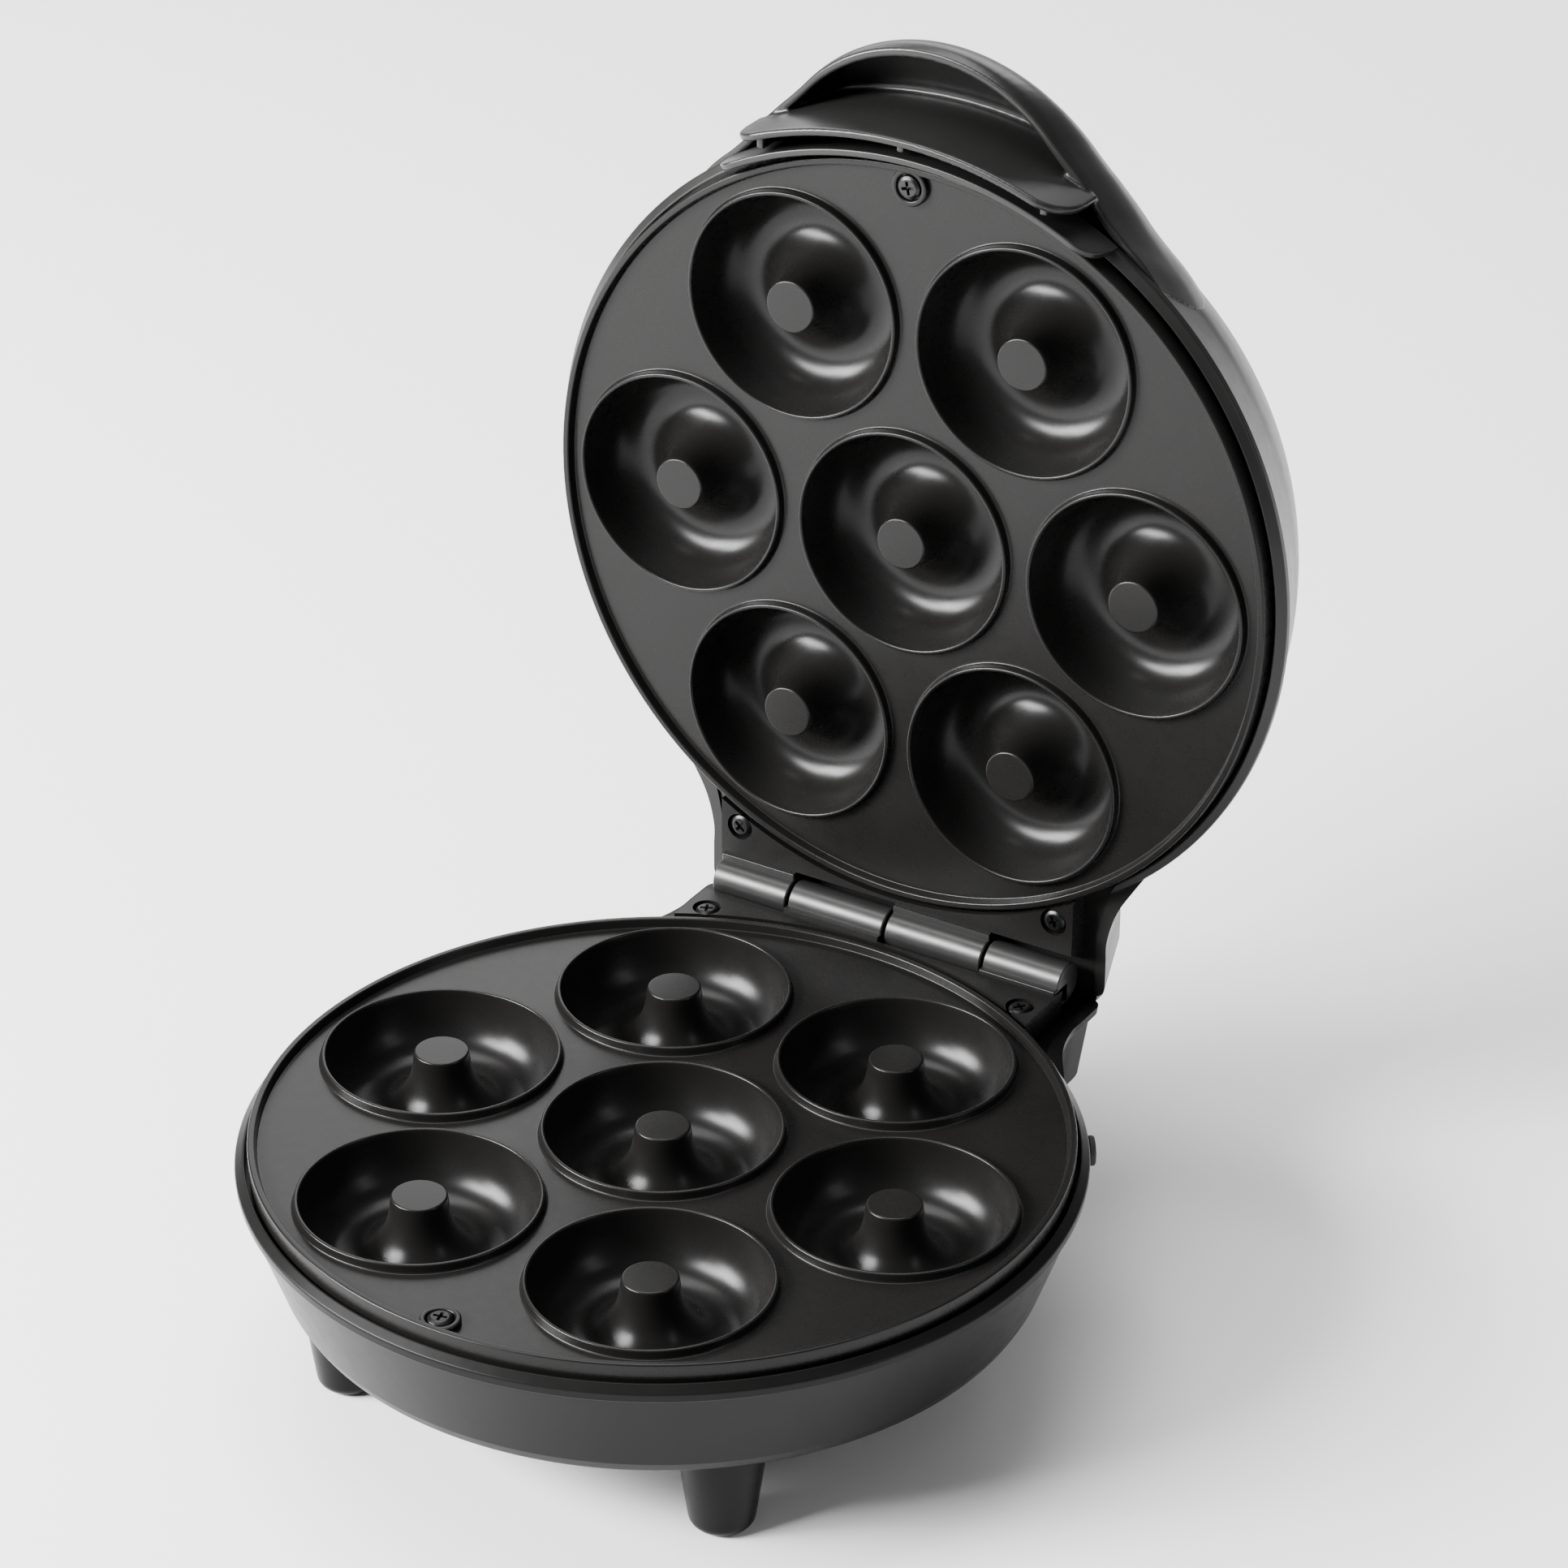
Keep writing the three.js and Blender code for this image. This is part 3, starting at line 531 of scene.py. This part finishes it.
def plate_body():
    shells = [
        revolve(rim_profile(), RIM_SEGMENTS),
        filled(0, FLAT_TOP_RADIUS, BEAD_FOOT),
        filled(-PLATE_THICKNESS, FLAT_UNDER_RADIUS, BEAD_RADIUS),
    ]
    under = rounded(
        [(0, -15.2), (20, -15.2, 2), (27, -10.6, 3), (BEAD_RADIUS, -PLATE_THICKNESS)], steps=4
    )
    for at in mould_centres:
        shells.append(revolve(mould_profile(), MOULD_SEGMENTS, at))
        shells.append(revolve(under, MOULD_SEGMENTS, at))
    return raw(shells, "plate")


def leaf_body():
    """The raised hinge leaf behind the lip, cut where the other half's knuckles turn."""
    outline = [
        (-LEAF_HALF, LEAF_FRONT), (LEAF_HALF, LEAF_FRONT), (LEAF_HALF, LEAF_REAR), (-LEAF_HALF, LEAF_REAR),
    ]
    leaf = raw([prism(outline, LEAF_BOTTOM, LEAF_TOP)], "leaf")
    cut(leaf, [disc(PLATE_RADIUS + 1.1, -0.4, 6, RIM_SEGMENTS)])
    cut(leaf, [disc(PLATE_RADIUS - 1.5, -9, 0, RIM_SEGMENTS)])
    for low, high in other_knuckles:
        cut(leaf, [bar(KNUCKLE_RADIUS + KNUCKLE_ROOM, low, high)])
    for where in ("left", "right"):
        recess = [(0, 0.5), (SCREW_RADIUS + 0.55, 0.5), (SCREW_RADIUS + 0.7, 4), (0, 4)]
        cut(leaf, [revolve(recess, SMALL_SEGMENTS, SCREWS[where][0])])
    return bevelled(leaf, 0.3, 30)


def knuckle_bodies():
    """Each knuckle as a barrel on a web. The last one's bore is blind, so it shows no hole."""
    made = []
    for low, high in own_knuckles:
        web = raw([box((low, HINGE_Y - 7.1, -3), (high, HINGE_Y, MATING + 0.6))], "web")
        barrel = raw([bar(KNUCKLE_RADIUS, low, high, 0.55)], "barrel")
        if high < KNUCKLE_EDGES[-1]:
            for piece in (web, barrel):
                cut(piece, [bar(PIN_BORE, low - 1, high + 1)])
        made += [bevelled(web, 0.45), barrel]
    return made


def collar_body():
    """The raised ring round the front screw."""
    profile = [(3.45, -1), (4.9, -1), (4.9, 1.5, 0.5), (3.45, 1.5, 0.4)]
    profile = rounded(profile, closed=True, steps=4)
    return raw([revolve([*profile, profile[0]], SMALL_SEGMENTS, SCREWS["front"][0])], "collar")


def screw_body(at, top, turn):
    """A pan head with a cross recess that narrows downwards."""
    profile = [
        (0, top - 1.9), (SCREW_RADIUS, top - 1.9), (SCREW_RADIUS, top - 0.55, 0.3), (2.2, top, 0.8), (0, top),
    ]
    head = raw([revolve(rounded(profile), SMALL_SEGMENTS, at)], "screw")
    for angle in (turn, turn + 90):
        rotate = Matrix.Translation((*at, 0)) @ Matrix.Rotation(math.radians(angle), 4, "Z")
        slot = [
            (z, [(-x, -y), (x, -y), (x, y), (-x, y)])
            for z, x, y in ((top - 1.1, 1.1, 0.32), (top + 0.3, 1.9, 0.42))
        ]
        cut(head, [moved(loft(slot), rotate)])
    return head


def make_plate(half, node):
    """The casting, with a lighter satin metal on the barrels of its knuckles as painted sheen, and its three
    screws.
    """
    barrel_reach = 0.001 * (KNUCKLE_RADIUS + 0.05)
    parts = [plate_body(), leaf_body(), collar_body(), *knuckle_bodies()]
    casting = finish_piece(join(*parts), node + "_casting", half, COATING, node)
    casting.data.materials.append(SHEEN_SATIN)
    # Faces on the knuckle barrels get the material with the painted sheen.
    for face in casting.data.polygons:
        away = face.center - hinge
        face.material_index = int(math.hypot(away.y, away.z) < barrel_reach)
    for where, (at, top, turn) in SCREWS.items():
        screw = f"{node}_screw_{where}"
        finish_piece(screw_body(at, top, turn), screw + "_head", half, BLACKENED, screw)


make_plate("base", "lower_plate")
make_plate("lid", "upper_plate")

# ---------- casings: outsides and hollows in (radius, z) ----------
flange = [
    (102.6, -6.3, 0.5), (103.4, -5.8, 0.4), (FLANGE_RADIUS, -3.7, 0.9), (101.6, -2, 0.5),
    (101.3, -2), (101.3, -2.6),
]
base_outside = rounded(
    [(0, -35), (60, -35, 30), (88.4, -34.3, 3), (92.6, -32.9, 2.5), (94.3, -29.8, 2.5), *flange], steps=6
)
dome = [
    (0, -54), (50, -53), (70, -51.1), (80, -47.4), (86.8, -42),
    (91.7, -34), (95.4, -26), (97.6, -19.8), (100, -13.2),
]
lid_outside = [*spline(dome, 5), *rounded([(100.6, -11.6), *flange], steps=6)]

seat = [(98.4, -10.4), (96.8, -9.2), (96.8, -7.2), (101.2, -7.2), (101.2, 4), (0, 4)]
base_inside = [(0, -32.6), (60, -32.6), (86.6, -31.8), (91.9, -27.4), *seat]
lid_inside = [
    (0, -51.6), (48.9, -50.6), (68.9, -48.7), (78.9, -45), (84.4, -39.6), (89.3, -31.6), (93, -23.6), *seat,
]

# ---------- casings: the block under the hinge, in (z, side inset) ----------
base_neck = rounded([(-28, 10), (-27.5, 5.1, 3), (-8, 2.4, 0.8), (-6.5, 0.3, 0.7), (NECK_TOP, 0)])
lid_neck = rounded([(-30, 13), (-29.4, 8.9, 4), (NECK_TOP, 0)])


def neck_outline(inset, rear):
    """The block from above: shoulders that run out of the bowl, then straight sides to the rear."""
    half = NECK_HALF - inset
    shoulder = [(x - inset, y - inset) for x, y in ((73.5, 62), (75, 67), (67, 80), (61.2, 90))]
    side = spline([(60 - inset, 52), *shoulder, (half + 0.1, 99), (half, 106)], 6)
    corner = rounded([(half, 106), (half, rear, 3.2), (0, rear)], steps=6)
    return mirrored([(0, 50), (60 - inset, 50), *side, *corner[1:]])


def foot_of(neck):
    """The height below which the block's rear leans in."""
    return neck[0][0] + 4


def lean(neck, z):
    return NECK_LEAN * max(0, foot_of(neck) - z)


def neck_body(neck):
    """The block through its profile in (z, side inset)."""
    return loft([(z, neck_outline(inset, NECK_REAR - lean(neck, z))) for z, inset in neck])


def neck_hollow(neck):
    """The room inside the block, a wall's thickness in from it and from the floor under the leaf."""
    roof = LEDGE - CASING_WALL
    inside = [
        (
            z + CASING_WALL * (z < foot_of(neck)),
            neck_outline(inset + NECK_WALL, NECK_REAR - NECK_WALL - lean(neck, z)),
        )
        for z, inset in neck
        if z < roof - 0.5
    ]
    return loft([*inside, (roof, neck_outline(5, NECK_REAR - NECK_WALL))])


def stop_lip():
    """The lip at the back of the lid's block, which meets the base's block at a right angle."""
    edge = rounded([(STOP_HALF, STOP_FRONT), (STOP_HALF, STOP_REAR, 3.8), (0, STOP_REAR)], steps=6)
    return prism(mirrored([(0, STOP_FRONT), *edge]), NECK_TOP - 4, NECK_TOP)


def casing_body(outside, inside, neck, *added):
    """The bowl with its block and what is added, hollowed and cut out for the leaf and the knuckles."""
    casing = raw([revolve([*outside, (0, outside[-1][1])], CASING_SEGMENTS)], "casing")
    fuse(casing, [neck_body(neck)], *added)
    cut(casing, [revolve(inside, CASING_SEGMENTS)], [neck_hollow(neck)])
    cut(casing, [prism(neck_outline(NECK_WALL, NECK_REAR + 6), LEDGE, 8)])
    return cut(casing, [bar(KNUCKLE_RADIUS + 1.1, -LEAF_HALF - 1, LEAF_HALF + 1)])


base_casing = casing_body(base_outside, base_inside, base_neck)
# The base casing takes the plastic with the painted shade.
finish_piece(base_casing, "base_shell", "base", SHADED_PLASTIC, "base_casing")

lid_casing = casing_body(lid_outside, lid_inside, lid_neck, [stop_lip()])
for x in (-LENS_X, LENS_X):
    cut(lid_casing, [disc(LENS_RADIUS + 0.3, -60, -45, SMALL_SEGMENTS, (x, LENS_Y))])
skirt_top = turned_down(6.4, -2.4, 0.13)
skirt = arc_wall(SKIRT_RADIUS - SKIRT_THICKNESS, SKIRT_RADIUS, -5, skirt_top, SKIRT_HALF_ANGLE, 0.5)
join(lid_casing, raw([skirt], "skirt"))
finish_piece(lid_casing, "lid_shell", "lid", LID_PLASTIC, "lid_casing")

# ---------- handle ----------
FLARE = ((38.2, 107.9), (41.6, 104.8), (46.9, 99.4), (50.4, 95.4), (55, 91), (60.5, 86.2), (66, 80))
GRIP_ROOT = (36, -62)
GRIP_LEVELS = [  # z, share of the full width, crown, casing's radius
    (-46.5, 0.92, 88, 81), (-40, 1.04, 102.5, 88), (-32, 1.1, 113, 92.8), (-24, 1.12, 120.5, 96),
    (-17, 1.08, 125.2, 98.6), (-10, 1.02, 127.4, 101.2), (-6, 1, 126.6, 102.6),
]
GRIP_FRONT = (16, 1, 126.6, 102.6)  # where a hollow runs out
VOXEL = 0.42
KEPT_FACES = 0.45


def grip_outline(share, crown, casing):
    """The grip at one depth: from the crest down the flare to its root inside the lid."""
    crest = []
    for degrees in range(0, CREST_HALF_ANGLE + 1, 3):
        a = math.radians(degrees)
        crest.append((CREST_RADIUS * math.sin(a), CREST_CENTRE + CREST_RADIUS * math.cos(a)))
    flare = spline([crest[-1], *FLARE], 4)
    rise = (crown - casing) / (CREST_RADIUS + CREST_CENTRE - FLANGE_RADIUS)
    half = []
    for x, y in [*crest[:-1], *flare]:
        angle = math.atan2(x, y) * share
        radius = casing + (math.hypot(x, y) - FLANGE_RADIUS) * rise
        half.append((radius * math.sin(angle), -radius * math.cos(angle)))
    half.append((GRIP_ROOT[0] * share, GRIP_ROOT[1]))
    return mirrored(half)[::-1]


def grip_body(inset):
    """The grip, all round smaller by the inset. An inset body is the hollow, so it runs out in front."""
    levels = spline(GRIP_LEVELS, 4)
    if inset:
        levels = [(z, min(share, 1), *radii) for z, share, *radii in [*levels, GRIP_FRONT]]
    outlines = [(z, grip_outline(share, crown - inset, casing - inset)) for z, share, crown, casing in levels]
    return [loft(outlines)]


def grip_skin():
    """The grip with a finger pocket outside its curved wall and a slot behind the wall."""
    pocket_profile = [(0, -19.4), (112.2, -19.4), (125.4, -6), (128, 14), (0, 14)]
    pocket = raw([revolve(pocket_profile, GRIP_SEGMENTS)], "pocket")
    cut(pocket, [disc(GRIP_WALL, -30, 20, GRIP_SEGMENTS)])
    slot = raw([disc(GRIP_WALL - GRIP_WALL_THICKNESS, -27, 20, GRIP_SEGMENTS)], "slot")
    for hollow in (pocket, slot):
        within(hollow, grip_body(GRIP_SHELL))
    return cut(raw(grip_body(0), "grip"), pocket, slot)


def grip_posts():
    """Three posts in the slot, trimmed to the grip where they run down inside it."""
    posts = []
    for x in (-POST_X, 0, POST_X):
        y = -math.sqrt(POST_RADIUS**2 - x**2)
        low, high = (x - POST_HALF, y - 2.2), (x + POST_HALF, y + 1.6)
        posts.append(raw([box((*low, POST_WAIST - 0.2), (*high, POST_TOP))], "post"))
        root = raw([box((*low, POST_BOTTOM), (*high, POST_WAIST))], "post")
        posts.append(within(root, grip_body(0)))
    return posts


def handle_body():
    """The grip, its wall and its posts as one skin, fitted over the lid and eased."""
    inner, top = GRIP_WALL - GRIP_WALL_THICKNESS, turned_down(10.4, -1.6, 0.2)
    skin = grip_skin()
    wall = raw([arc_wall(inner, GRIP_WALL, -7, top, GRIP_WALL_HALF_ANGLE, 0.6, 192)], "wall")
    handle = join(skin, wall, *grip_posts())
    weld = handle.modifiers.new("weld", "REMESH")
    weld.mode, weld.voxel_size, weld.use_smooth_shade = "VOXEL", VOXEL, True
    settle(handle)
    inner_skin = [(max(0, r - GRIP_SINK), z + GRIP_SINK) for r, z in lid_outside[:-2]]
    cut(handle, [revolve([*inner_skin, (FLANGE_RADIUS - GRIP_SINK, 12), (0, 12)], CASING_SEGMENTS)])
    cut(handle, [disc(SKIRT_RADIUS + 0.2, -6, 14, CASING_SEGMENTS)])
    ease = handle.modifiers.new("ease", "SMOOTH")
    ease.factor, ease.iterations = 0.5, 5
    thin = handle.modifiers.new("thin", "DECIMATE")
    thin.ratio = KEPT_FACES
    return settle(handle)


finish_piece(handle_body(), "grip_shell", "lid", LID_PLASTIC, "handle", 50)

# ---------- feet, gland, pin, lenses ----------
for row, (x, y, top) in FEET.items():
    for side, sign in (("left", -1), ("right", 1)):
        profile = [(0, GROUND), (7.7, GROUND, 3.4), (11, -34), (11.3, top), (0, top)]
        foot = raw([revolve(rounded(profile, steps=6), 64, (sign * x, y))], "foot")
        finish_piece(foot, f"leg_{row}_{side}", "base", SHADED_PLASTIC, f"foot_{row}_{side}")

gland_profile = [
    (0, 90.5), (3.4, 90.5, 0.3), (3.4, 94.6, 0.3), (2.9, 94.7), (2.9, 97.5), (3.7, 97.6), (3.7, 103.2, 0.4),
    (3.3, 103.5), (3.3, 104.1), (3.75, 104.4, 0.3), (3.75, 105.8, 0.5), (1.9, 105.8, 0.3), (1.7, 98), (0, 98),
]
outward = Matrix.Rotation(math.radians(GLAND_AZIMUTH), 4, "Z") @ Matrix.Rotation(math.pi / 2, 4, "Y")
gland_shell = revolve(rounded(gland_profile, steps=4), SMALL_SEGMENTS)
gland = raw([moved(gland_shell, Matrix.Translation((0, 0, GLAND_Z)) @ outward)], "gland")
finish_piece(gland, "cord_bushing", "base", RUBBER, "cord_gland")

pin = raw([bar(PIN_RADIUS, PIN_LOW, PIN_HIGH, 0.3, 40)], "pin")
finish_piece(pin, "hinge_rod", "base", STEEL, "hinge_pin")

for x, label, paint, slot in ((LENS_X, "power", RED, "red_lens"), (-LENS_X, "ready", GREEN, "green_lens")):
    profile = [(0, -54.2), (2.2, -54.0, 2), (LENS_RADIUS, -52.9, 0.6), (LENS_RADIUS, -50.2), (0, -50.2)]
    lens = raw([revolve(rounded(profile, steps=6), SMALL_SEGMENTS, (x, LENS_Y))], "lens")
    finish_piece(lens, f"{label}_window", "lid", paint, f"{label}_lens")

# ---------- the CAD nodes that stay ----------
keep = {
    "steel": STEEL,
    "reflector": FOIL,
    "ceramic": CERAMIC,
    "wire_sleeve": SLEEVE,
    "lamp_glass": CERAMIC,
    "board": BOARD,
    "casing": SHADED_PLASTIC,
}
for part in frame["record"]["subparts"]:
    shown = frame["nodes"][part["node"]]
    if part["material_slot"] in keep and not shown.hide_render:
        shown.data.materials.clear()
        shown.data.materials.append(keep[part["material_slot"]])

# ---------- stage, light and camera, in metres ----------
FLOOR_HALF = 6
WORLD_STRENGTH = 0.26
LIGHTS = {  # place, height of its aim on the Z axis, size, power in W
    "overhead": ((-0.5, 0.3, 2.2), 0, (1.6, 1.3), 60),
    "front_left": ((-1.35, -1.05, 0.8), 0.15, (0.85, 0.55), 125),
    "front_high": ((-0.9, -1.35, 1.15), 0.15, (0.8, 0.45), 85),
    "right": ((1.7, 0.0, 0.7), 0.15, (0.4, 1.2), 5),
    "back_left": ((-1.1, 1.9, 1.2), 0.1, (2.2, 1.4), 34),
}
CAMERA_PLACE = (0.5783, -0.93126, 0.7449)
CAMERA_RIGHT, CAMERA_BACK = (0.8537, 0.5207, 0.0059), (0.4534, -0.7489, 0.4833)
LENS, SENSOR = 120.2, 36  # mm

floor_corners = [(x * FLOOR_HALF, y * FLOOR_HALF, 0) for x, y in ((-1, -1), (1, -1), (1, 1), (-1, 1))]
floor_mesh = bpy.data.meshes.new("floor")
floor_mesh.from_pydata(floor_corners, [], [(0, 1, 2, 3)])
floor = bpy.data.objects.new("floor", floor_mesh)
bpy.context.scene.collection.objects.link(floor)
floor_mesh.materials.append(shader("pale_floor", (0.86, 0.86, 0.86), 0.7)[0])

world = bpy.data.worlds.new("studio")
world.use_nodes = True
world.node_tree.nodes["Background"].inputs["Color"].default_value = (1, 1, 1, 1)
world.node_tree.nodes["Background"].inputs["Strength"].default_value = WORLD_STRENGTH
bpy.context.scene.world = world

for name, (place, aim, size, power) in LIGHTS.items():
    light = bpy.data.lights.new(name, "AREA")
    light.shape = "RECTANGLE"
    light.size, light.size_y = size
    light.energy = power
    lamp = bpy.data.objects.new(name, light)
    bpy.context.scene.collection.objects.link(lamp)
    lamp.location = place
    lamp.rotation_euler = (Vector(place) - Vector((0, 0, aim))).to_track_quat("Z", "Y").to_euler()

camera_data = bpy.data.cameras.new("camera")
camera_data.sensor_width = SENSOR
camera_data.lens = LENS
camera = bpy.data.objects.new("camera", camera_data)
bpy.context.scene.collection.objects.link(camera)
back = Vector(CAMERA_BACK).normalized()
right = Vector(CAMERA_RIGHT)
right = (right - back * right.dot(back)).normalized()
turn = Matrix((right, back.cross(right), back)).transposed().to_4x4()
camera.matrix_world = Matrix.Translation(CAMERA_PLACE) @ turn
bpy.context.scene.camera = camera
